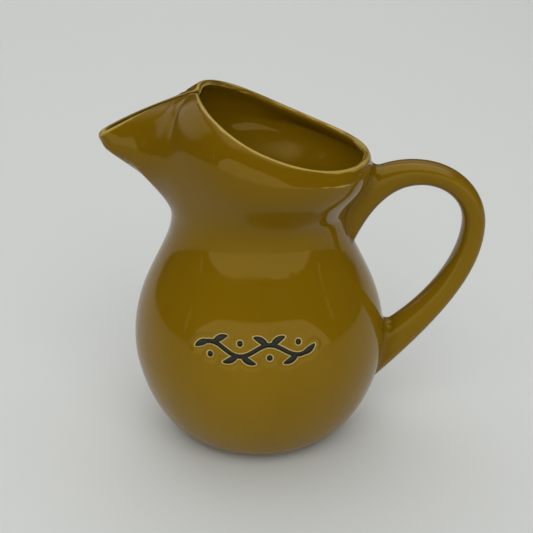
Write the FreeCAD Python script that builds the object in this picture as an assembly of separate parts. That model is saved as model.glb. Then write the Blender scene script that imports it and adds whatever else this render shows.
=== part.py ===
import FreeCAD, Part
import math
import os
from collections import namedtuple
from FreeCAD import Vector

# A glazed stoneware syrup jug, cast in one piece: a round belly on a narrow foot, a waist, a
# mouth that climbs towards the front, and a beaked spout whose two edges are folded inwards
# until only a slit is left between them.  A strap handle joins the mouth to the belly.
#
# Sizes are in millimetres and angles in degrees.  The handle points to +X, the spout to -X and
# Z is up.  The origin is the middle of the foot, and the jug is symmetric about the XZ plane.

# Belly: a turned profile of two arcs that meet at the widest ring.
FOOT_RADIUS = 34.6
FOOT_FLARE_ANGLE = 23.0
FOOT_FLARE_LENGTH = 15.7
BELLY_RADIUS = 60.1
BELLY_HEIGHT = 50.8
BELLY_FULLNESS_BELOW = 20.3
BELLY_FULLNESS_ABOVE = 27.4
WAIST_RADIUS = 40.6
WAIST_HEIGHT = 111.7
WAIST_HOLLOW = 16.4

# Wall, rounded lip, floor, and the ring that the jug stands on.
WALL = 3.8
LIP = 3.6
FLOOR = 6.0
FLOOR_CORNER = 10.6
FOOT_RING_WIDTH = 4.5
FOOT_RECESS = 1.4
FOOT_RECESS_SLOPE = 1.2

# Mouth, seen from above: two half ellipses along the middle of the lip, which share their
# widest place.  Its height climbs from the handle to the throat and dips beside the slit.
MOUTH_WIDEST = 2.0
MOUTH_HALF_WIDTH = 46.6
MOUTH_BACK_REACH = 46.4
MOUTH_FRONT_REACH = 30.0
COLLAR_HEIGHT = 27.7
MOUTH_RISE = 28.7
MOUTH_RISE_POWER = 1.67
THROAT_DIP = 3.3
THROAT_DIP_WIDTH = 14.0
THROAT_DIP_LENGTH = 8.0
THROAT_CORNER = 2.4

# Spout: the slit and the round nose at its end.
SPOUT_LENGTH = 42.4
SPOUT_TIP_RISE = 36.5
SLIT_HALF_GAP = 0.8
SLIT_OPENING = 0.65
SLIT_ARCH = 1.0
NOSE_RADIUS = 4.0

# Shoulder: the line below the lip where the skin stands furthest out, seen from above.
SHOULDER_FLARE_BACK = 2.4
SHOULDER_FLARE_SIDE = 5.5
SHOULDER_SIDE_PULL = 28.0
BEAK_BEND_SETBACK = 6.0
BEAK_BEND_HALF_WIDTH = 20.0
BEAK_END_SETBACK = 8.4
BEAK_END_HALF_WIDTH = 8.0
BEAK_END_SIDE_PULL = 1.2
BEAK_END_KEEL_PULL = 1.5
KEEL_SETBACK = 1.3
LIP_FULLNESS = 0.85
LIP_FULLNESS_WITH_ROLL = 0.2

# Strap handle: its highest and outermost places, its section, how much wider it is at its
# roots, and the fillets there.
HANDLE_TOP_OFFSET = 19.9
HANDLE_TOP_DROP = 3.0
HANDLE_REACH = 45.2
HANDLE_OUTERMOST_DROP = 6.7
HANDLE_THICKNESS_TOP = 11.2
HANDLE_THICKNESS_SIDE = 10.7
HANDLE_HALF_WIDTH = 7.3
HANDLE_UPPER_FLARE = 1.5
HANDLE_LOWER_FLARE = 0.9
HANDLE_SQUARENESS = 2.5
UPPER_FILLET = 4.0
LOWER_FILLET = 3.0

# Fineness of the nets of poles.
BELLY_ROWS = 5
FLARE_ROWS = 5
ROLL_ROWS = 4
LIP_ROWS = 4
FLOOR_ROWS = 3
LINE_SAMPLES = 3000
HEADING_STEP = 0.1
HANDLE_ROWS = 10
HANDLE_BURIED_ROWS = 3
HANDLE_COLUMNS = 20

# Places that follow from the sizes above.
MOUTH_BACK = MOUTH_WIDEST + MOUTH_BACK_REACH
MOUTH_FRONT = MOUTH_WIDEST - MOUTH_FRONT_REACH
MOUTH_LOW = WAIST_HEIGHT + COLLAR_HEIGHT
SPOUT_TIP = MOUTH_FRONT - SPOUT_LENGTH
SPOUT_TIP_HEIGHT = WAIST_HEIGHT + SPOUT_TIP_RISE
SHOULDER_BACK = MOUTH_BACK + SHOULDER_FLARE_BACK
FLOOR_RADIUS = FOOT_RADIUS - FLOOR_CORNER
HANDLE_TOP_X = SHOULDER_BACK + HANDLE_TOP_OFFSET
HANDLE_TOP_Z = MOUTH_LOW - HANDLE_TOP_DROP
HANDLE_OUT_X = BELLY_RADIUS + HANDLE_REACH
HANDLE_OUT_Z = WAIST_HEIGHT - HANDLE_OUTERMOST_DROP

UP = Vector(0, 0, 1)

# The upper part at each place along the lip, on the half with positive Y.
# column: number of the pole column.  rim, shoulder: place along each line.
# drop: height of the lip above the shoulder.  roll: how far the skin leans inwards at the lip.
# lean: how far it leans outwards at the shoulder.  pull: how strongly the waist is drawn up to it.
Station = namedtuple("Station", "column rim shoulder drop roll lean pull")
STATIONS = [
    Station(0, 0.0, 0.00, 3.9, 25, 0, 1.0),       # above the handle
    Station(5, 0.65, 0.65, 5.0, 25, 0, 1.0),      # beside the handle
    Station(8, 1.0, 1.00, 11.0, 37, 0, 1.0),      # widest place of the mouth
    Station(12, 1.5, 1.32, 18.5, 55, 0, 1.0),     # front of the mouth
    Station(16, 2.0, 1.58, 24.5, 72, 0, 1.0),     # throat's corner, on the mouth's side
    Station(18, 2.5, 1.66, 25.5, 84, 0, 1.0),     # middle of the throat's corner
    Station(20, 3.0, 1.74, 25.0, 95, 0, 1.0),     # throat's corner, on the slit's side
    Station(24, 3.5, 1.88, 19.5, 80, 0, 0.9),     # middle of the slit
    Station(28, 4.0, 2.00, 9.0, 16, 20, 0.65),    # start of the nose
    Station(31, 5.0, 3.00, 5.2, -30, 55, 0.55),   # tip of the spout
]
STATION_COLUMNS = [station.column for station in STATIONS]
LAST_COLUMN = STATION_COLUMNS[-1]

# The handle's two edges in the XZ plane: place and heading of the edge, and how strongly it is
# pulled along that heading towards the knot before and the knot after.
Knot = namedtuple("Knot", "x z heading before after")
HANDLE_OUTER_EDGE = [
    Knot(SHOULDER_BACK - 6.8, MOUTH_LOW - 10.9, 34.5, 0.0, 9.7),               # in the collar's wall
    Knot(HANDLE_TOP_X, HANDLE_TOP_Z, 0.0, 9.7, 18.3),
    Knot(HANDLE_OUT_X, HANDLE_OUT_Z, -90.0, 19.0, 21.0),
    Knot(BELLY_RADIUS - 10.1, BELLY_HEIGHT - 32.8, -135.0, 60.8, 0.0),         # in the belly's wall
]
HANDLE_INNER_EDGE = [
    Knot(WAIST_RADIUS - 0.6, WAIST_HEIGHT - 25.7, 72.3, 0.0, 23.1),            # below the waist
    Knot(HANDLE_TOP_X + 3.1, HANDLE_TOP_Z - HANDLE_THICKNESS_TOP, 0.0, 16.3, 11.2),
    Knot(HANDLE_OUT_X - HANDLE_THICKNESS_SIDE, HANDLE_OUT_Z + 0.5, -90.0, 11.5, 17.5),
    Knot(BELLY_RADIUS - 8.1, BELLY_HEIGHT - 2.8, -150.3, 32.2, 0.0),           # in the belly's wall
]


def unit(vector):
    return vector * (1 / vector.Length)


def smoothstep(t):
    t = min(max(t, 0.0), 1.0)
    return t * t * (3 - 2 * t)


def signed_power(value, power):
    return math.copysign(abs(value) ** power, value)


def bezier(a, b, c, d, t):
    s = 1 - t
    return a * (s * s * s) + b * (3 * s * s * t) + c * (3 * s * t * t) + d * (t * t * t)


def hermite(start, start_pull, end, end_pull, t):
    return bezier(start, start + start_pull * (1 / 3), end - end_pull * (1 / 3), end, t)


def monotone(keys, values, x):
    """A smooth curve through the values that never overshoots them."""
    slopes = [(values[i + 1] - values[i]) / (keys[i + 1] - keys[i]) for i in range(len(keys) - 1)]
    tangents = [slopes[0]]
    for before, after in zip(slopes, slopes[1:]):
        tangents.append(0.0 if before * after <= 0 else 2 * before * after / (before + after))
    tangents.append(slopes[-1])
    i = 0
    while i < len(slopes) - 1 and x > keys[i + 1]:
        i += 1
    width = keys[i + 1] - keys[i]
    share = (x - keys[i]) / width
    return hermite(values[i], tangents[i] * width, values[i + 1], tangents[i + 1] * width, share)


def at_station(name, column):
    return monotone(STATION_COLUMNS, [getattr(station, name) for station in STATIONS], column)


class Line:
    """A curve measured by its length, so that the pole columns are spread evenly along it."""

    def __init__(self, curve, places):
        self.points = [curve(places[-1] * i / LINE_SAMPLES) for i in range(LINE_SAMPLES + 1)]
        self.lengths = [0.0]
        for a, b in zip(self.points, self.points[1:]):
            self.lengths.append(self.lengths[-1] + (b - a).Length)
        self.stops = [self.lengths[round(place / places[-1] * LINE_SAMPLES)] for place in places]

    def point(self, column):
        length = monotone(STATION_COLUMNS, self.stops, column)
        low = 0
        high = LINE_SAMPLES
        while high - low > 1:
            middle = (low + high) // 2
            if self.lengths[middle] > length:
                high = middle
            else:
                low = middle
        share = (length - self.lengths[low]) / (self.lengths[high] - self.lengths[low])
        return self.points[low] + (self.points[high] - self.points[low]) * share

    def heading(self, column):
        if column == 0:
            return Vector(0, 1, 0)
        if column == LAST_COLUMN:
            return Vector(0, -1, 0)
        return unit(self.point(column + HEADING_STEP) - self.point(column - HEADING_STEP))


def rim_plan(place):
    """Middle of the lip from above: mouth 0 to 2, throat's corner to 3, slit to 4, nose to 5."""
    slit_y = SLIT_HALF_GAP + LIP / 2
    last_angle = math.pi - math.asin((slit_y + THROAT_CORNER) / MOUTH_HALF_WIDTH)
    corner_x = MOUTH_WIDEST + MOUTH_FRONT_REACH * math.cos(last_angle) - THROAT_CORNER
    nose_x = SPOUT_TIP + NOSE_RADIUS
    quarter = math.pi / 2
    if place <= 1:
        angle = place * quarter
        return MOUTH_WIDEST + MOUTH_BACK_REACH * math.cos(angle), MOUTH_HALF_WIDTH * math.sin(angle)
    if place <= 2:
        angle = quarter + (place - 1) * (last_angle - quarter)
        return MOUTH_WIDEST + MOUTH_FRONT_REACH * math.cos(angle), MOUTH_HALF_WIDTH * math.sin(angle)
    if place <= 3:
        angle = (place - 2) * quarter
        return corner_x + THROAT_CORNER * math.cos(angle), slit_y + THROAT_CORNER * (1 - math.sin(angle))
    if place <= 4:
        share = place - 3
        opening = SLIT_OPENING * smoothstep(share) + (1 - SLIT_OPENING) * share
        return corner_x + (nose_x - corner_x) * share, slit_y + (NOSE_RADIUS - slit_y) * opening
    angle = (place - 4) * quarter
    return nose_x - NOSE_RADIUS * math.sin(angle), NOSE_RADIUS * math.cos(angle)


def mouth_height(x, y):
    climb = min(max((MOUTH_BACK - x) / (MOUTH_BACK - MOUTH_FRONT), 0.0), 1.0)
    near_slit = max(1 - y / THROAT_DIP_WIDTH, 0.0) ** 2
    near_throat = smoothstep((MOUTH_FRONT + THROAT_DIP_LENGTH - x) / THROAT_DIP_LENGTH)
    return MOUTH_LOW + MOUTH_RISE * climb ** MOUTH_RISE_POWER - THROAT_DIP * near_slit * near_throat


def rim_curve(place):
    x, y = rim_plan(place)
    if place <= 3:
        return Vector(x, y, mouth_height(x, y))
    throat_x, throat_y = rim_plan(3)
    throat_height = mouth_height(throat_x, throat_y)
    share = (throat_x - x) / (throat_x - SPOUT_TIP)
    arch = SLIT_ARCH * 4 * share * (1 - share)
    return Vector(x, y, throat_height + (SPOUT_TIP_HEIGHT - throat_height) * share + arch)


def shoulder_curve(place):
    """The shoulder from above: back quarter 0 to 1, side of the beak to 2, its round end to 3."""
    side = Vector(MOUTH_WIDEST, MOUTH_HALF_WIDTH + SHOULDER_FLARE_SIDE, 0)
    bend = Vector(MOUTH_FRONT - BEAK_BEND_SETBACK, BEAK_BEND_HALF_WIDTH, 0)
    beak_end = Vector(SPOUT_TIP + BEAK_END_SETBACK, BEAK_END_HALF_WIDTH, 0)
    keel = Vector(SPOUT_TIP + KEEL_SETBACK, 0, 0)
    if place <= 1:
        angle = place * math.pi / 2
        return Vector(side.x + (SHOULDER_BACK - side.x) * math.cos(angle), side.y * math.sin(angle), 0)
    if place <= 2:
        return bezier(side, side - Vector(SHOULDER_SIDE_PULL, 0, 0), bend, beak_end, place - 1)
    side_pull = unit(beak_end - bend) * (beak_end - keel).Length * BEAK_END_SIDE_PULL
    keel_pull = Vector(0, -beak_end.y * BEAK_END_KEEL_PULL, 0)
    return hermite(beak_end, side_pull, keel, keel_pull, place - 2)


def belly_profile():
    """Radius (x) and height (z) of the turned part, from the foot's edge to the waist."""
    flare = math.radians(FOOT_FLARE_ANGLE)
    foot = Vector(FOOT_RADIUS, 0, 0)
    foot_pull = foot + Vector(math.cos(flare), 0, math.sin(flare)) * FOOT_FLARE_LENGTH
    widest = Vector(BELLY_RADIUS, 0, BELLY_HEIGHT)
    waist = Vector(WAIST_RADIUS, 0, WAIST_HEIGHT)
    below = widest - UP * BELLY_FULLNESS_BELOW
    above = widest + UP * BELLY_FULLNESS_ABOVE
    hollow = waist - UP * WAIST_HOLLOW
    lower = [bezier(foot, foot_pull, below, widest, i / BELLY_ROWS) for i in range(BELLY_ROWS)]
    upper = [bezier(widest, above, hollow, waist, i / BELLY_ROWS) for i in range(BELLY_ROWS + 1)]
    return lower + upper


def turned(radius, angle, height):
    return Vector(radius * math.cos(angle), radius * math.sin(angle), height)


def skin_column(column, rim, shoulder):
    """One column of the outer skin from foot to lip, the lip's round, and the way the lip faces."""
    centre = rim.point(column)
    rim_heading = rim.heading(column)
    outwards = unit(Vector(rim_heading.y, -rim_heading.x, 0))
    upwards = outwards.cross(rim_heading)
    roll = math.radians(at_station("roll", column))
    rising = upwards * math.cos(roll) - outwards * math.sin(roll)
    facing = outwards * math.cos(roll) + upwards * math.sin(roll)
    edge = centre + facing * (LIP / 2)

    widest = shoulder.point(column)
    widest.z = centre.z - at_station("drop", column)
    angle = math.atan2(widest.y, widest.x)
    even_angle = math.pi * column / LAST_COLUMN
    points = []
    for place in belly_profile():
        share = smoothstep(place.z / WAIST_HEIGHT)
        points.append(turned(place.x, even_angle + (angle - even_angle) * share, place.z))

    waist = points[-1]
    whole = edge - waist
    along = shoulder.heading(column)
    across = Vector(along.y, -along.x, 0)
    lean = math.radians(at_station("lean", column))
    through = unit(UP * whole.z + along * whole.dot(along)) * math.cos(lean) + across * math.sin(lean)
    step = widest - waist
    pull = step.Length * at_station("pull", column)
    for i in range(1, FLARE_ROWS + 1):
        points.append(hermite(waist, UP * step.Length, widest, through * pull, i / FLARE_ROWS))

    step = edge - widest
    arrival = unit(rising * step.dot(rising) + rim_heading * step.dot(rim_heading))
    pull = step.Length * (LIP_FULLNESS + LIP_FULLNESS_WITH_ROLL * abs(math.sin(roll)))
    for i in range(1, ROLL_ROWS + 1):
        points.append(hermite(widest, through * pull, edge, arrival * pull, i / ROLL_ROWS))

    lip = []
    for i in range(1, LIP_ROWS):
        turn = math.pi * i / LIP_ROWS
        lip.append(centre + (facing * math.cos(turn) + rising * math.sin(turn)) * (LIP / 2))
    return points, lip, facing


def mirrored(half_ring):
    """A closed ring from its half with positive Y."""
    return half_ring + [Vector(p.x, -p.y, p.z) for p in reversed(half_ring[1:-1])]


def inner_rings(outer, facing):
    """The inside of the wall, from the lip down to the edge of the flat floor."""
    count = len(facing)
    rings = [[outer[-1][j] - facing[j] * LIP for j in range(count)]]
    for i in range(len(outer) - 2, 0, -1):
        ring = []
        for j in range(count):
            climb = outer[i + 1][j] - outer[i - 1][j]
            turn = outer[i][(j + 1) % count] - outer[i][j - 1]
            ring.append(outer[i][j] - unit(turn.cross(climb)) * WALL)
        if ring[0].z < FLOOR + WALL:
            break
        rings.append(ring)
    wall_foot = rings[-1][0]
    wall_pull = wall_foot - rings[-2][0]
    floor_edge = Vector(FLOOR_RADIUS, 0, FLOOR)
    floor_pull = Vector(floor_edge.x - wall_foot.x, 0, 0)
    for i in range(1, FLOOR_ROWS + 1):
        place = hermite(wall_foot, wall_pull, floor_edge, floor_pull, i / FLOOR_ROWS)
        rings.append([turned(place.x, math.atan2(p.y, p.x), place.z) for p in outer[0]])
    return rings


def skin_rings():
    """Closed rings of points up the outside, over the lip and down the inside."""
    rim = Line(rim_curve, [station.rim for station in STATIONS])
    shoulder = Line(shoulder_curve, [station.shoulder for station in STATIONS])
    columns = [skin_column(column, rim, shoulder) for column in range(LAST_COLUMN + 1)]
    outer = [mirrored(list(ring)) for ring in zip(*[points for points, lip, facing in columns])]
    lip = [mirrored(list(ring)) for ring in zip(*[lip for points, lip, facing in columns])]
    facing = mirrored([facing for points, lip, facing in columns])
    return outer, lip, inner_rings(outer, facing)


def sharpened(rings):
    """Poles whose surface runs through the points of the rings, not inside them."""
    count = len(rings[0])
    around = []
    for ring in rings:
        around.append([p - (ring[j - 1] + ring[(j + 1) % count] - p * 2) * (1 / 6)
                       for j, p in enumerate(ring)])
    poles = [around[0]]
    for before, ring, after in zip(around, around[1:], around[2:]):
        poles.append([p - (a + b - p * 2) * (1 / 6) for a, p, b in zip(before, ring, after)])
    poles.append(around[-1])
    return poles


def net_solid(poles):
    """A solid with one smooth side, shaped by closed rings of poles, and two flat ends."""
    rows = len(poles)
    columns = len(poles[0])
    row_knots = [float(i) for i in range(rows - 2)]
    column_knots = [float(i) for i in range(columns + 1)]
    row_counts = [4] + [1] * (rows - 4) + [4]
    column_counts = [1] * (columns + 1)
    surface = Part.BSplineSurface()
    surface.buildFromPolesMultsKnots(poles, row_counts, column_counts, row_knots, column_knots,
                                     False, True, 3, 3)
    side = surface.toShape()
    ends = [Part.Face(Part.Wire([edge])) for edge in side.Edges if edge.isClosed()]
    shell = Part.Shell([side] + ends)
    shell.sewShape()
    solid = Part.Solid(shell)
    if solid.Volume < 0:
        solid.reverse()
    return solid


def jug_body(outer, lip, inner):
    body = net_solid(sharpened(outer + lip + inner))
    recess_radius = FOOT_RADIUS - FOOT_RING_WIDTH
    recess = Part.makeCone(recess_radius, recess_radius - FOOT_RECESS_SLOPE, FOOT_RECESS)
    return body.cut(recess)


def wall_core(outer):
    """A turned solid out to the middle of the wall at the handle, where the handle's roots end."""
    profile = [ring[0] for ring in outer]
    middle = []
    for before, point, after in zip(profile, profile[1:], profile[2:]):
        climb = unit(after - before)
        middle.append(point - Vector(climb.z, 0, -climb.x) * (WALL / 2))
    curve = Part.BSplineCurve()
    curve.interpolate(middle)
    low = Vector(0, 0, middle[0].z)
    high = Vector(0, 0, middle[-1].z)
    outline = Part.Wire([
        Part.makeLine(low, middle[0]),
        curve.toShape(),
        Part.makeLine(middle[-1], high),
        Part.makeLine(high, low),
    ])
    return Part.Face(outline).revolve(Vector(0, 0, 0), UP, 360)


def edge_point(knots, place):
    """A point on an edge of the handle; knot number 0 is the upper root."""
    first = min(max(int(place), 0), len(knots) - 2)
    a = knots[first]
    b = knots[first + 1]
    leaving = math.radians(a.heading)
    arriving = math.radians(b.heading)
    start = Vector(a.x, 0, a.z)
    end = Vector(b.x, 0, b.z)
    start_pull = start + Vector(math.cos(leaving), 0, math.sin(leaving)) * a.after
    end_pull = end - Vector(math.cos(arriving), 0, math.sin(arriving)) * b.before
    return bezier(start, start_pull, end_pull, end, place - first)


def handle_ring(place):
    """One section of the strap: a squarish oval between its two edges, wider at the roots."""
    outer = edge_point(HANDLE_OUTER_EDGE, place)
    inner = edge_point(HANDLE_INNER_EDGE, place)
    centre = (outer + inner) * 0.5
    across = (outer - inner) * 0.5
    last = len(HANDLE_OUTER_EDGE) - 1
    half_width = HANDLE_HALF_WIDTH
    half_width += HANDLE_UPPER_FLARE * max(1 - place, 0.0) ** 2
    half_width += HANDLE_LOWER_FLARE * max(place - last + 1, 0.0) ** 2
    ring = []
    for j in range(HANDLE_COLUMNS):
        angle = 2 * math.pi * j / HANDLE_COLUMNS
        out = signed_power(math.cos(angle), 2 / HANDLE_SQUARENESS)
        side = signed_power(math.sin(angle), 2 / HANDLE_SQUARENESS)
        ring.append(centre + across * out + Vector(0, half_width * side, 0))
    return ring


def jug_handle(core):
    last_row = (len(HANDLE_OUTER_EDGE) - 1) * HANDLE_ROWS
    rings = [handle_ring(i / HANDLE_ROWS) for i in range(-HANDLE_BURIED_ROWS, last_row + 1)]
    return net_solid(rings).cut(core)


def root_edges(jug):
    """The edges where the handle's skin meets the body's, as the upper and the lower root."""
    body_skin = max(jug.Faces, key=lambda face: face.Area)
    handle_skin = max(jug.Faces, key=lambda face: face.CenterOfMass.x)
    shared = [edge for edge in body_skin.Edges if any(edge.isSame(other) for other in handle_skin.Edges)]
    upper = [edge for edge in shared if edge.CenterOfMass.z > (BELLY_HEIGHT + WAIST_HEIGHT) / 2]
    lower = [edge for edge in shared if edge.CenterOfMass.z <= (BELLY_HEIGHT + WAIST_HEIGHT) / 2]
    return upper, lower


def make_jug():
    outer, lip, inner = skin_rings()
    body = jug_body(outer, lip, inner)
    handle = jug_handle(wall_core(outer))
    jug = body.fuse(handle)
    upper, lower = root_edges(jug)
    jug = jug.makeFillet(LOWER_FILLET, lower)
    upper, lower = root_edges(jug)
    return jug.makeFillet(UPPER_FILLET, upper)


def main():
    os.makedirs("parts", exist_ok=True)
    jug = make_jug()
    jug.exportStep("parts/jug.step")
    print("solids", len(jug.Solids), "faces", len(jug.Faces), "valid", jug.isValid())
    print("volume", round(jug.Volume), "mm3")


main()
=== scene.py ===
import math

import bmesh
import bpy
import numpy as np
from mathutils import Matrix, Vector


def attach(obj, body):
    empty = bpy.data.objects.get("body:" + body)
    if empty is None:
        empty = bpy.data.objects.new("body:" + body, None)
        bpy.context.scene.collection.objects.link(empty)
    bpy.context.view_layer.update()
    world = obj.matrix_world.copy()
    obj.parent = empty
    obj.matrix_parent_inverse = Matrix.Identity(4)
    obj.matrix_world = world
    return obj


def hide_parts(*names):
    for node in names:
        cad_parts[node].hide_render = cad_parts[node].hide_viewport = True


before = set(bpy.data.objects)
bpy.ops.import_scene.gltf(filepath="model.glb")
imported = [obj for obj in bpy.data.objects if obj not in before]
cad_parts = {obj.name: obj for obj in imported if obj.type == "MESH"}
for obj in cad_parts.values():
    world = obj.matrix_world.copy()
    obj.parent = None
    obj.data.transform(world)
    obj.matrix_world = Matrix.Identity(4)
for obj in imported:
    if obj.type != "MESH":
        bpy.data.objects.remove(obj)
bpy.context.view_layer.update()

SCENE = bpy.context.scene
SCENE.view_settings.view_transform = "Standard"
MM = 0.001

# Camera: the point it looks at, its distance and elevation, and its lens in millimetres.
TARGET = Vector((0, 0, 0.080))
CAMERA_DISTANCE = 0.500
CAMERA_ELEVATION = math.radians(24.5)
CAMERA_CLIP = (0.01, 20)
CAMERA_SHIFT = (0.0137, 0.0124)
LENS = 70.92
SENSOR = 36.0

# Stage: the strength of the even light, of the dim room that the glaze mirrors and of the pale
# backdrop; the floor, which is a little darker where the glaze mirrors it.
AMBIENT = 0.52
ROOM = 0.03
BACKDROP = 0.56
FLOOR_COLOUR = (0.590, 0.604, 0.584, 1)
FLOOR_MIRRORED = (0.470, 0.475, 0.460, 1)
FLOOR_ROUGHNESS = 0.7
FLOOR_REACH = 2.3
FLOOR_MIDDLE = (0, 0, 0)
JUG_MIDDLE = (0, 0, 0.1)

# Pale screen in front, which only the glaze mirrors: how high its top looks from the jug, how far
# round it reaches, and how it falls away at its ends.
SCREEN_DISTANCE = 2.2
SCREEN_BASE = 0.08
SCREEN_TOP = math.radians(21.5)
SCREEN_END = math.radians(64.0)
SCREEN_CORNER = 5
SCREEN_STEPS = 48
SCREEN_GLOW = 0.95

# Soft sheets above, at the left and behind, which only the glaze mirrors: the squares along each
# side, and the share of a side over which the glow fades in.
SHEET_STEPS = 24
SHEET_FADE = 0.22

# Glaze, ink and bare clay.
GLAZE_LIGHT = (0.228, 0.131, 0.0020, 1)
# Deeper glaze colour: used for pooled glaze and cloudy tone, and also as painted shade towards the
# top.
GLAZE_DEEP_AND_SHADE = (0.130, 0.067, 0.0008, 1)
GLAZE_THIN = (0.400, 0.285, 0.0550, 1)
GLAZE_BROKEN = (0.560, 0.470, 0.1900, 1)
# Painted shade for the skin in the spout's slit, standing in for the dark gap.
SLIT_SHADE_COLOUR = (0.060, 0.032, 0.0020, 1)
INK = (0.003, 0.010, 0.020, 1)
CLAY = (0.620, 0.520, 0.380, 1)
GLAZE_IOR = 1.5
GLAZE_SHEEN = (1.0, 0.80, 0.30, 1)

# How the glaze's colour changes: where each change starts and is complete, and its largest share.
# Painted shade: the glaze is darkened towards the top, where less light falls on the front.
SHADE_HEIGHTS = (-20 * MM, 190 * MM)
SHADE_SHARE = 0.85
CLOUD_SCALE = 22
CLOUD_DETAIL = 3
CLOUD_STRETCH = (1, 1, 0.45)
CLOUD_LEVELS = (0.30, 0.75)
CLOUD_SHARE = 0.30
POOLED_BENDS = (0.02, 0.22)
POOLED_SHARE = 0.6
THIN_BENDS = (0.20, 0.50)
THIN_SHARE = 0.8
# Painted shade in the spout's slit: how squarely the skin faces the other edge where it starts and
# where it is full.
SLIT_SHADE_FACINGS = (0.15, 0.75)
BROKEN_START = (-0.05, 0.10)
BROKEN_END = (0.20, 0.60)
BROKEN_SHARE = 0.75
INK_EDGE = (-0.15, 0.02)
FOOT_HEIGHTS = (0.2 * MM, 0.5 * MM)

# How rough each surface is, and the soft waves in the glaze's skin.
GLOSS_SCALE = 90
GLOSS_DETAIL = 2
GLOSS_LEVELS = (0.35, 0.70)
GLOSS_ROUGHNESS = (0.05, 0.10)
INK_ROUGHNESS = 0.28
CLAY_ROUGHNESS = 0.85
WAVE_SCALE = 55
WAVE_DETAIL = 1
WAVE_STRENGTH = 0.35
WAVE_DEPTH = 0.35 * MM

# Pressed ornament: a waved stem with leaves and dots, in millimetres and degrees.  It lies on the
# belly on the -Y side; u runs round the belly and v up it, from the ornament's middle.
ORNAMENT_X = -2.0
ORNAMENT_Z = 69.0
STEM_HALF_LENGTH = 21.5
STEM_HALF_WIDTH = 0.95
STEM_SWING = 2.5
CREST_SPACING = 13.0
CRESTS = (-1.5, -0.5, 0.5, 1.5)
LEAF_LENGTH = 6.4
LEAF_HALF_WIDTH = 1.5
LEAF_POINT_RADIUS = 0.35
LEAF_LEAN = 42.0
LEAF_CURL = 38.0
LEAF_SPREAD = 1.2
LEAF_BLUNTNESS = 0.08
LEAF_FULLNESS = 0.8
LEAF_TAPER = 0.25
END_LEAF_LENGTH = 6.0
END_CURL = 25.0
DOT_RADIUS = 1.3
DOT_HEIGHT = 2.9
DISC_STEP = 0.2

# How deep the strokes are pressed and how the clay swells beside them, in millimetres.
PRESS_DEPTH = 0.55
PRESS_WALL = (-0.75, 0.30)
SWELL_HEIGHT = 0.25
SWELL_PLACE = 1.1
SWELL_WIDTH = 1.6
SLOPE_STEP = 0.05
FAR = 9.0

# The belly's skin that takes the ornament: its heights, how far forward it starts, how squarely
# its skin faces outwards, and how far a point may lie from the turned profile, in millimetres.
BELLY_BAND = (48.0, 90.0)
BELLY_FRONT = -30.0
BELLY_FACING = 0.5
BELLY_DEPTH = 0.5
LEAST_RADIUS = 1.0
PROFILE_DEGREE = 6
REFINE_REACH = (6.0, 4.5, 3.0, 1.8)
WELD = 0.001

# The bends of the surface, where the glaze pools or thins: the least edge length that counts,
# squared and in millimetres, and how often the bends are smoothed.
LEAST_SPAN_SQUARED = 0.01
BEND_ROUNDS = 3

# Where painted shade darkens the skin between the spout's folded edges, standing in for the dark slit,
# in millimetres.
SLIT_START = -26.0
SLIT_LOWEST = 130.0
SLIT_REACH = 4.5


def facing(location, target):
    return (Vector(target) - Vector(location)).to_track_quat("-Z", "Y")


def make_camera():
    data = bpy.data.cameras.new("camera")
    camera = bpy.data.objects.new("camera", data)
    SCENE.collection.objects.link(camera)
    away = Vector((0, -math.cos(CAMERA_ELEVATION), math.sin(CAMERA_ELEVATION)))
    camera.location = TARGET + away * CAMERA_DISTANCE
    camera.rotation_mode = "QUATERNION"
    camera.rotation_quaternion = (-away).to_track_quat("-Z", "Y")
    data.sensor_width = SENSOR
    data.lens = LENS
    data.shift_x, data.shift_y = CAMERA_SHIFT
    data.clip_start, data.clip_end = CAMERA_CLIP
    SCENE.camera = camera


def area_lamp(name, location, target, size, radiance, mirrored=False):
    data = bpy.data.lights.new(name, "AREA")
    data.shape = "RECTANGLE"
    data.size, data.size_y = size
    data.energy = radiance * data.size * data.size_y * math.pi
    lamp = bpy.data.objects.new(name, data)
    lamp.location = location
    lamp.rotation_mode = "QUATERNION"
    lamp.rotation_quaternion = facing(location, target)
    lamp.visible_glossy = mirrored
    lamp.visible_camera = False
    SCENE.collection.objects.link(lamp)


def make_lamps():
    """Soft light from above, behind and in front, and two narrow lights that the belly mirrors."""
    area_lamp("ceiling", location=(-0.10, 0.90, 1.45), target=(-0.10, 0.90, 0),
              size=(2.0, 1.9), radiance=0.48)
    area_lamp("back_fill", location=(-0.3, 1.9, 1.1), target=FLOOR_MIDDLE,
              size=(2.4, 1.2), radiance=0.95)
    area_lamp("front_fill", location=(0.10, -1.55, 1.5), target=FLOOR_MIDDLE,
              size=(2.4, 1.5), radiance=2.3)
    area_lamp("left_strip", location=(-2.1, -0.75, 0.45), target=JUG_MIDDLE,
              size=(0.07, 0.45), radiance=0.5, mirrored=True)
    area_lamp("right_strip", location=(2.1, -0.65, 0.60), target=JUG_MIDDLE,
              size=(0.07, 0.30), radiance=0.6, mirrored=True)


def link(tree, source, target):
    tree.links.new(source, target)


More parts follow.
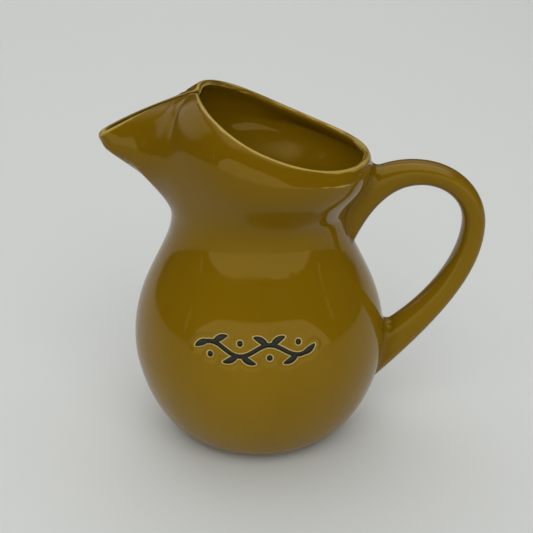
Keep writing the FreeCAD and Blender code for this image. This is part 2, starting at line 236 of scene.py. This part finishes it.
def make_world():
    """An even soft light that is dim where the glaze mirrors it and pale where the camera sees it."""
    world = bpy.data.worlds.new("room")
    world.use_nodes = True
    tree = world.node_tree
    background = tree.nodes["Background"]
    background.inputs["Color"].default_value = (1, 1, 1, 1)
    light_path = tree.nodes.new("ShaderNodeLightPath")
    strength = AMBIENT
    for ray, level in (("Is Glossy Ray", ROOM), ("Is Camera Ray", BACKDROP)):
        choice = tree.nodes.new("ShaderNodeMix")
        choice.data_type = "FLOAT"
        choice.inputs[3].default_value = level
        link(tree, light_path.outputs[ray], choice.inputs["Factor"])
        if isinstance(strength, float):
            choice.inputs[2].default_value = strength
        else:
            link(tree, strength, choice.inputs[2])
        strength = choice.outputs[0]
    link(tree, strength, background.inputs["Strength"])
    SCENE.world = world


def vertex_attribute(mesh, name, values):
    attribute = mesh.attributes.new(name, "FLOAT", "POINT")
    attribute.data.foreach_set("value", np.asarray(values, dtype=np.float32))


def mirrored_only(name, places, faces, glow):
    """A glowing mesh that only the glaze mirrors; glow is its strength at each vertex."""
    mesh = bpy.data.meshes.new(name)
    mesh.from_pydata(places, [], faces)
    vertex_attribute(mesh, "glow", glow)
    card = bpy.data.objects.new(name, mesh)
    SCENE.collection.objects.link(card)
    card.visible_camera = False
    card.visible_diffuse = False
    card.visible_shadow = False
    material = bpy.data.materials.new(name + "_glow")
    material.use_nodes = True
    tree = material.node_tree
    shader = tree.nodes.new("ShaderNodeEmission")
    level = tree.nodes.new("ShaderNodeAttribute")
    level.attribute_name = "glow"
    link(tree, level.outputs["Fac"], shader.inputs["Strength"])
    link(tree, shader.outputs[0], tree.nodes["Material Output"].inputs["Surface"])
    mesh.materials.append(material)
    return card


def make_front_screen():
    """The pale surface that the belly mirrors in front: a screen whose top falls away at its ends."""
    places = []
    faces = []
    for i in range(SCREEN_STEPS + 1):
        turn = 2 * i / SCREEN_STEPS - 1
        azimuth = SCREEN_END * turn
        top = SCREEN_TOP * (1 - abs(turn) ** SCREEN_CORNER)
        x = SCREEN_DISTANCE * math.sin(azimuth)
        y = -SCREEN_DISTANCE * math.cos(azimuth)
        places += [(x, y, 0), (x, y, SCREEN_BASE + SCREEN_DISTANCE * math.tan(top))]
        if i:
            faces.append((2 * i - 2, 2 * i, 2 * i + 1, 2 * i - 1))
    mirrored_only("front_card", places, faces, [SCREEN_GLOW] * len(places))


def soft_sheet(name, location, target, size, radiance):
    """A glowing sheet that fades towards its edges."""
    width, length = size
    places = []
    faces = []
    glow = []
    row = SHEET_STEPS + 1
    for i in range(row):
        for j in range(row):
            across, along = i / SHEET_STEPS, j / SHEET_STEPS
            places.append(((across - 0.5) * width, (along - 0.5) * length, 0))
            inside = np.array([across, 1 - across, along, 1 - along])
            glow.append(radiance * float(np.prod(smoothstep(0, SHEET_FADE, inside))))
            if i and j:
                corner = i * row + j
                faces.append((corner - row - 1, corner - 1, corner, corner - row))
    card = mirrored_only(name, places, faces, glow)
    card.location = location
    card.rotation_mode = "QUATERNION"
    card.rotation_quaternion = facing(location, target)


def make_soft_sheets():
    soft_sheet("ceiling_card", location=(0.15, 0.15, 1.45), target=(0.15, 0.15, 0),
               size=(3.0, 3.2), radiance=1.20)
    soft_sheet("left_wall_card", location=(-1.8, 1.10, 1.45), target=JUG_MIDDLE,
               size=(3.0, 2.2), radiance=0.60)
    soft_sheet("back_wall_card", location=(0.6, 2.1, 1.6), target=JUG_MIDDLE,
               size=(2.8, 1.9), radiance=0.30)


def make_floor():
    mesh = bpy.data.meshes.new("floor")
    r = FLOOR_REACH
    mesh.from_pydata([(-r, -r, 0), (r, -r, 0), (r, r, 0), (-r, r, 0)], [], [(0, 1, 2, 3)])
    floor = bpy.data.objects.new("floor", mesh)
    SCENE.collection.objects.link(floor)
    material = bpy.data.materials.new("floor_paint")
    material.use_nodes = True
    tree = material.node_tree
    shader = tree.nodes["Principled BSDF"]
    light_path = tree.nodes.new("ShaderNodeLightPath")
    colour = tree.nodes.new("ShaderNodeMix")
    colour.data_type = "RGBA"
    colour.inputs[6].default_value = FLOOR_COLOUR
    colour.inputs[7].default_value = FLOOR_MIRRORED
    link(tree, light_path.outputs["Is Glossy Ray"], colour.inputs["Factor"])
    link(tree, colour.outputs[2], shader.inputs["Base Color"])
    shader.inputs["Roughness"].default_value = FLOOR_ROUGHNESS
    mesh.materials.append(material)


def leaf(u, v, heading, curl, length):
    """Discs of a leaf that starts at (u, v) and curls as it grows; angles in degrees."""
    discs = []
    steps = int(length / DISC_STEP)
    for i in range(steps + 1):
        t = i / steps
        bend = math.radians(heading + curl * t)
        u += math.cos(bend) * DISC_STEP
        v += math.sin(bend) * DISC_STEP
        swell = math.sin(math.pi * (LEAF_BLUNTNESS + (1 - LEAF_BLUNTNESS) * t))
        fat = swell ** LEAF_FULLNESS * (1 - LEAF_TAPER * t)
        discs.append((u, v, LEAF_POINT_RADIUS + (LEAF_HALF_WIDTH - LEAF_POINT_RADIUS) * fat))
    return discs


def stroke_discs():
    """The ornament as a row of discs: u, v and radius of each."""
    discs = []
    wave = math.pi / CREST_SPACING
    steps = int(2 * STEM_HALF_LENGTH / DISC_STEP)
    for i in range(steps + 1):
        u = STEM_HALF_LENGTH * (2 * i / steps - 1)
        discs.append((u, STEM_SWING * math.sin(wave * u), STEM_HALF_WIDTH))
    for side in (1, -1):
        u = side * STEM_HALF_LENGTH
        slope = math.degrees(math.atan(STEM_SWING * wave * math.cos(wave * u)))
        heading = slope if side > 0 else slope + 180
        discs += leaf(u, STEM_SWING * math.sin(wave * u), heading, END_CURL, END_LEAF_LENGTH)
    for crest in CRESTS:
        up = math.copysign(1, math.sin(math.pi * crest))
        for lean in (1, -1):
            # Beyond the outer crests the stem's own end leaf takes this leaf's place.
            if crest * lean > 1:
                continue
            u = crest * CREST_SPACING + lean * LEAF_SPREAD
            v = STEM_SWING * math.sin(wave * u)
            heading = up * (90 - lean * LEAF_LEAN)
            discs += leaf(u, v, heading, -up * lean * LEAF_CURL, LEAF_LENGTH)
        discs.append((crest * CREST_SPACING, -up * DOT_HEIGHT, DOT_RADIUS))
    return np.array(discs)


def distance_to_strokes(uv, discs):
    """How far each point lies outside the nearest stroke, in millimetres; less than 0 inside."""
    nearest = np.full(len(uv), FAR)
    for u, v, radius in discs:
        nearest = np.minimum(nearest, np.hypot(uv[:, 0] - u, uv[:, 1] - v) - radius)
    return nearest


def smoothstep(low, high, x):
    t = np.clip((x - low) / (high - low), 0, 1)
    return t * t * (3 - 2 * t)


def pressed_height(distance):
    """Height of the clay at a distance from a stroke: sunk inside it and swollen beside it."""
    swell = SWELL_HEIGHT * np.exp(-((distance - SWELL_PLACE) / SWELL_WIDTH) ** 2)
    return swell - (PRESS_DEPTH + swell) * (1 - smoothstep(*PRESS_WALL, distance))


class BellyFront:
    """The belly's skin round the ornament: its turned profile, and the u and v of its points."""

    def __init__(self, places, normals):
        radius = np.hypot(places[:, 0], places[:, 1])
        outwards = (places[:, :2] * normals[:, :2]).sum(1) / np.maximum(radius, LEAST_RADIUS)
        ours = self.in_front(places) & (outwards > BELLY_FACING)
        self.profile = np.polynomial.Polynomial.fit(places[ours, 2], radius[ours], PROFILE_DEGREE)
        self.slope = self.profile.deriv()
        self.scale = float(self.profile(ORNAMENT_Z))

    def in_front(self, places):
        in_band = (places[:, 2] > BELLY_BAND[0]) & (places[:, 2] < BELLY_BAND[1])
        return in_band & (places[:, 1] < BELLY_FRONT)

    def holds(self, places):
        """Which points lie on the outer skin, as the wall's inner skin is nearer the axis."""
        radius = np.hypot(places[:, 0], places[:, 1])
        height = np.clip(places[:, 2], *BELLY_BAND)
        return self.in_front(places) & (np.abs(radius - self.profile(height)) < BELLY_DEPTH)

    def uv(self, places):
        angle = np.arctan2(places[:, 0], -places[:, 1])
        return np.stack([angle * self.scale - ORNAMENT_X, places[:, 2] - ORNAMENT_Z], axis=1)

    def angle(self, uv):
        return (uv[:, 0] + ORNAMENT_X) / self.scale

    def points(self, uv):
        angle = self.angle(uv)
        height = uv[:, 1] + ORNAMENT_Z
        radius = self.profile(height)
        return np.stack([np.sin(angle) * radius, -np.cos(angle) * radius, height], axis=1)

    def normals(self, uv):
        angle = self.angle(uv)
        slope = self.slope(uv[:, 1] + ORNAMENT_Z)
        length = np.hypot(1, slope)
        return np.stack([np.sin(angle) / length, -np.cos(angle) / length, -slope / length], axis=1)


def read(items, name, width, kind=np.float32):
    """One property of many mesh items, as rows of the given width."""
    values = np.empty(len(items) * width, dtype=kind)
    items.foreach_get(name, values)
    return values.reshape(-1, width)


def unit(vectors):
    return vectors / np.linalg.norm(vectors, axis=1)[:, None]


def refine(mesh, belly, discs):
    """Divides the belly's skin round the strokes until it is fine enough to press them in."""
    bm = bmesh.new()
    bm.from_mesh(mesh)
    bmesh.ops.remove_doubles(bm, verts=bm.verts, dist=MM * WELD)
    for reach in REFINE_REACH:
        bm.verts.ensure_lookup_table()
        places = np.array([v.co for v in bm.verts]) / MM
        near = belly.holds(places)
        gap = np.full(len(places), FAR)
        gap[near] = distance_to_strokes(belly.uv(places[near]), discs)
        chosen = set()
        for face in bm.faces:
            corners = [v.index for v in face.verts]
            if near[corners].all() and gap[corners].min() < reach:
                chosen.update(face.edges)
        bmesh.ops.subdivide_edges(bm, edges=list(chosen), cuts=1, use_grid_fill=True)
        bmesh.ops.triangulate(bm, faces=[face for face in bm.faces if len(face.verts) > 3])
    bm.to_mesh(mesh)
    bm.free()


def pressed_normals(belly, uv, discs):
    """The belly's normals, tilted by the slope of the pressed ornament."""
    slopes = []
    for shift in ((SLOPE_STEP, 0), (0, SLOPE_STEP)):
        ahead = pressed_height(distance_to_strokes(uv + shift, discs))
        behind = pressed_height(distance_to_strokes(uv - shift, discs))
        slopes.append((ahead - behind) / (2 * SLOPE_STEP))
    angle = belly.angle(uv)
    along_u = np.stack([np.cos(angle), np.sin(angle), 0 * angle], axis=1)
    base = belly.normals(uv)
    along_v = np.cross(base, -along_u)
    return unit(base - along_u * slopes[0][:, None] - along_v * slopes[1][:, None])


def press_ornament(mesh, belly, discs):
    """Presses the strokes into the skin.

    Returns each vertex's gap to the strokes, the vertices near them and their normals."""
    places = read(mesh.vertices, "co", 3) / MM
    ours = np.flatnonzero(belly.holds(places))
    uv = belly.uv(places[ours])
    distance = distance_to_strokes(uv, discs)
    close = distance < FAR
    ours, uv, distance = ours[close], uv[close], distance[close]
    height = pressed_height(distance)
    places[ours] = belly.points(uv) + belly.normals(uv) * height[:, None]
    mesh.vertices.foreach_set("co", (places * MM).ravel())
    gap = np.full(len(places), FAR, dtype=np.float32)
    gap[ours] = distance
    return gap, ours, pressed_normals(belly, uv, discs)


def bends(mesh, normals):
    """The strongest outward and inward bend at each vertex, per millimetre, smoothed."""
    places = read(mesh.vertices, "co", 3) / MM
    a, b = read(mesh.edges, "vertices", 2, np.int32).T
    span = places[a] - places[b]
    length_squared = np.maximum((span ** 2).sum(1), LEAST_SPAN_SQUARED)
    bend = ((normals[a] - normals[b]) * span).sum(1) / length_squared
    out = np.zeros(len(places))
    into = np.zeros(len(places))
    np.maximum.at(out, a, bend)
    np.maximum.at(out, b, bend)
    np.minimum.at(into, a, bend)
    np.minimum.at(into, b, bend)
    count = np.bincount(np.concatenate([a, b]), minlength=len(places))
    for values in (out, into):
        for _ in range(BEND_ROUNDS):
            total = np.bincount(a, values[b], len(places)) + np.bincount(b, values[a], len(places))
            values[:] = (values + total / count) / 2
    return out, into


def facing_in_slit(places, normals):
    """How squarely the skin in the spout's slit faces the other edge; -1 outside the slit."""
    x, y, z = places.T
    in_slit = (x < SLIT_START) & (z > SLIT_LOWEST) & (np.abs(y) < SLIT_REACH)
    return np.where(in_slit, -normals[:, 1] * np.sign(y), -1)


def make_jug(source):
    """A copy of the jug with the ornament pressed in, and what the glaze needs to know of its form."""
    mesh = source.data.copy()
    mesh.transform(source.matrix_world)
    cad_normals = read(mesh.corner_normals, "vector", 3)
    kept = mesh.attributes.new("cad_normal", "FLOAT_VECTOR", "CORNER")
    kept.data.foreach_set("vector", cad_normals.ravel())
    places = read(mesh.vertices, "co", 3) / MM
    belly = BellyFront(places, read(mesh.vertices, "normal", 3))
    discs = stroke_discs()
    refine(mesh, belly, discs)
    gap, ours, pressed = press_ornament(mesh, belly, discs)

    vertex_normals = np.zeros((len(gap), 3))
    vertex_normals[ours] = pressed
    is_ours = np.zeros(len(gap), dtype=bool)
    is_ours[ours] = True
    corners = read(mesh.loops, "vertex_index", 1, np.int32)[:, 0]
    corner_normals = read(mesh.attributes["cad_normal"].data, "vector", 3)
    chosen = is_ours[corners]
    corner_normals[chosen] = vertex_normals[corners[chosen]]
    corner_normals = unit(corner_normals)
    mesh.attributes.remove(mesh.attributes["cad_normal"])
    mesh.polygons.foreach_set("use_smooth", [True] * len(mesh.polygons))
    mesh.normals_split_custom_set(corner_normals)

    normals = np.zeros((len(gap), 3))
    np.add.at(normals, corners, corner_normals)
    normals = unit(normals)
    out, into = bends(mesh, normals)
    out[ours] = 0
    into[ours] = 0
    places = read(mesh.vertices, "co", 3) / MM
    vertex_attribute(mesh, "stroke_gap", gap)
    vertex_attribute(mesh, "bend_out", out)
    vertex_attribute(mesh, "bend_in", -into)
    # How squarely the skin in the slit faces the other edge; this drives the painted shade there.
    vertex_attribute(mesh, "slit_shade", facing_in_slit(places, normals))
    mesh.update()
    piece = bpy.data.objects.new("glazed_jug", mesh)
    SCENE.collection.objects.link(piece)
    return piece


class Nodes:
    """Short ways to add the nodes of one material."""

    def __init__(self, name):
        self.material = bpy.data.materials.new(name)
        self.material.use_nodes = True
        self.tree = self.material.node_tree
        self.shader = self.tree.nodes["Principled BSDF"]

    def add(self, kind):
        return self.tree.nodes.new(kind)

    def attribute(self, name):
        node = self.add("ShaderNodeAttribute")
        node.attribute_name = name
        return node.outputs["Fac"]

    def height(self):
        coordinates = self.add("ShaderNodeTexCoord")
        node = self.add("ShaderNodeSeparateXYZ")
        link(self.tree, coordinates.outputs["Object"], node.inputs[0])
        return node.outputs["Z"]

    def ramp(self, value, limits, start, end):
        """A smooth change from start to end as the value goes from one limit to the other."""
        node = self.add("ShaderNodeMapRange")
        node.interpolation_type = "SMOOTHSTEP"
        link(self.tree, value, node.inputs["Value"])
        node.inputs["From Min"].default_value, node.inputs["From Max"].default_value = limits
        node.inputs["To Min"].default_value = start
        node.inputs["To Max"].default_value = end
        return node.outputs["Result"]

    def product(self, a, b):
        node = self.add("ShaderNodeMath")
        node.operation = "MULTIPLY"
        link(self.tree, a, node.inputs[0])
        link(self.tree, b, node.inputs[1])
        return node.outputs[0]

    def noise(self, scale, detail, stretch=(1, 1, 1)):
        coordinates = self.add("ShaderNodeTexCoord")
        mapping = self.add("ShaderNodeMapping")
        mapping.inputs["Scale"].default_value = stretch
        node = self.add("ShaderNodeTexNoise")
        node.inputs["Scale"].default_value = scale
        node.inputs["Detail"].default_value = detail
        link(self.tree, coordinates.outputs["Object"], mapping.inputs["Vector"])
        link(self.tree, mapping.outputs["Vector"], node.inputs["Vector"])
        return node.outputs["Fac"]

    def tint(self, share, colour, second):
        """Turns a colour, plain or from a socket, towards a second one by the share."""
        node = self.add("ShaderNodeMix")
        node.data_type = "RGBA"
        link(self.tree, share, node.inputs["Factor"])
        if isinstance(colour, tuple):
            node.inputs[6].default_value = colour
        else:
            link(self.tree, colour, node.inputs[6])
        node.inputs[7].default_value = second
        return node.outputs[2]

    def shift(self, share, number, second):
        """Turns a number from a socket towards a second one by the share."""
        node = self.add("ShaderNodeMix")
        node.data_type = "FLOAT"
        link(self.tree, share, node.inputs["Factor"])
        link(self.tree, number, node.inputs[2])
        node.inputs[3].default_value = second
        return node.outputs[0]


def glaze_material():
    nodes = Nodes("mustard_glaze")
    height = nodes.height()
    gap = nodes.attribute("stroke_gap")

    shaded_towards_top = nodes.ramp(height, SHADE_HEIGHTS, 0, SHADE_SHARE)
    clouds = nodes.noise(CLOUD_SCALE, CLOUD_DETAIL, CLOUD_STRETCH)
    cloudy = nodes.ramp(clouds, CLOUD_LEVELS, 0, CLOUD_SHARE)
    pooled = nodes.ramp(nodes.attribute("bend_in"), POOLED_BENDS, 0, POOLED_SHARE)
    thin = nodes.ramp(nodes.attribute("bend_out"), THIN_BENDS, 0, THIN_SHARE)
    slit_shade = nodes.ramp(nodes.attribute("slit_shade"), SLIT_SHADE_FACINGS, 0, 1)
    edge_start = nodes.ramp(gap, BROKEN_START, 0, 1)
    edge_end = nodes.ramp(gap, BROKEN_END, BROKEN_SHARE, 0)
    broken = nodes.product(edge_start, edge_end)
    inked = nodes.ramp(gap, INK_EDGE, 1, 0)
    bare = nodes.ramp(height, FOOT_HEIGHTS, 1, 0)

    # Painted shade: the glaze turns darker towards the top.
    colour = nodes.tint(shaded_towards_top, GLAZE_LIGHT, GLAZE_DEEP_AND_SHADE)
    colour = nodes.tint(cloudy, colour, GLAZE_DEEP_AND_SHADE)
    colour = nodes.tint(pooled, colour, GLAZE_DEEP_AND_SHADE)
    colour = nodes.tint(thin, colour, GLAZE_THIN)
    # Painted shade: the skin in the spout's slit is darkened to stand in for the dark gap.
    colour = nodes.tint(slit_shade, colour, SLIT_SHADE_COLOUR)
    colour = nodes.tint(broken, colour, GLAZE_BROKEN)
    colour = nodes.tint(inked, colour, INK)
    colour = nodes.tint(bare, colour, CLAY)
    link(nodes.tree, colour, nodes.shader.inputs["Base Color"])

    roughness = nodes.ramp(nodes.noise(GLOSS_SCALE, GLOSS_DETAIL), GLOSS_LEVELS, *GLOSS_ROUGHNESS)
    roughness = nodes.shift(inked, roughness, INK_ROUGHNESS)
    roughness = nodes.shift(bare, roughness, CLAY_ROUGHNESS)
    link(nodes.tree, roughness, nodes.shader.inputs["Roughness"])
    nodes.shader.inputs["IOR"].default_value = GLAZE_IOR
    nodes.shader.inputs["Specular Tint"].default_value = GLAZE_SHEEN

    bump = nodes.add("ShaderNodeBump")
    bump.inputs["Strength"].default_value = WAVE_STRENGTH
    bump.inputs["Distance"].default_value = WAVE_DEPTH
    link(nodes.tree, nodes.noise(WAVE_SCALE, WAVE_DETAIL), bump.inputs["Height"])
    link(nodes.tree, bump.outputs["Normal"], nodes.shader.inputs["Normal"])
    return nodes.material


make_camera()
make_floor()
make_world()
make_front_screen()
make_soft_sheets()
make_lamps()
jug = make_jug(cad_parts["jug"])
jug.data.materials.clear()
jug.data.materials.append(glaze_material())
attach(jug, "root")
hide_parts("jug")
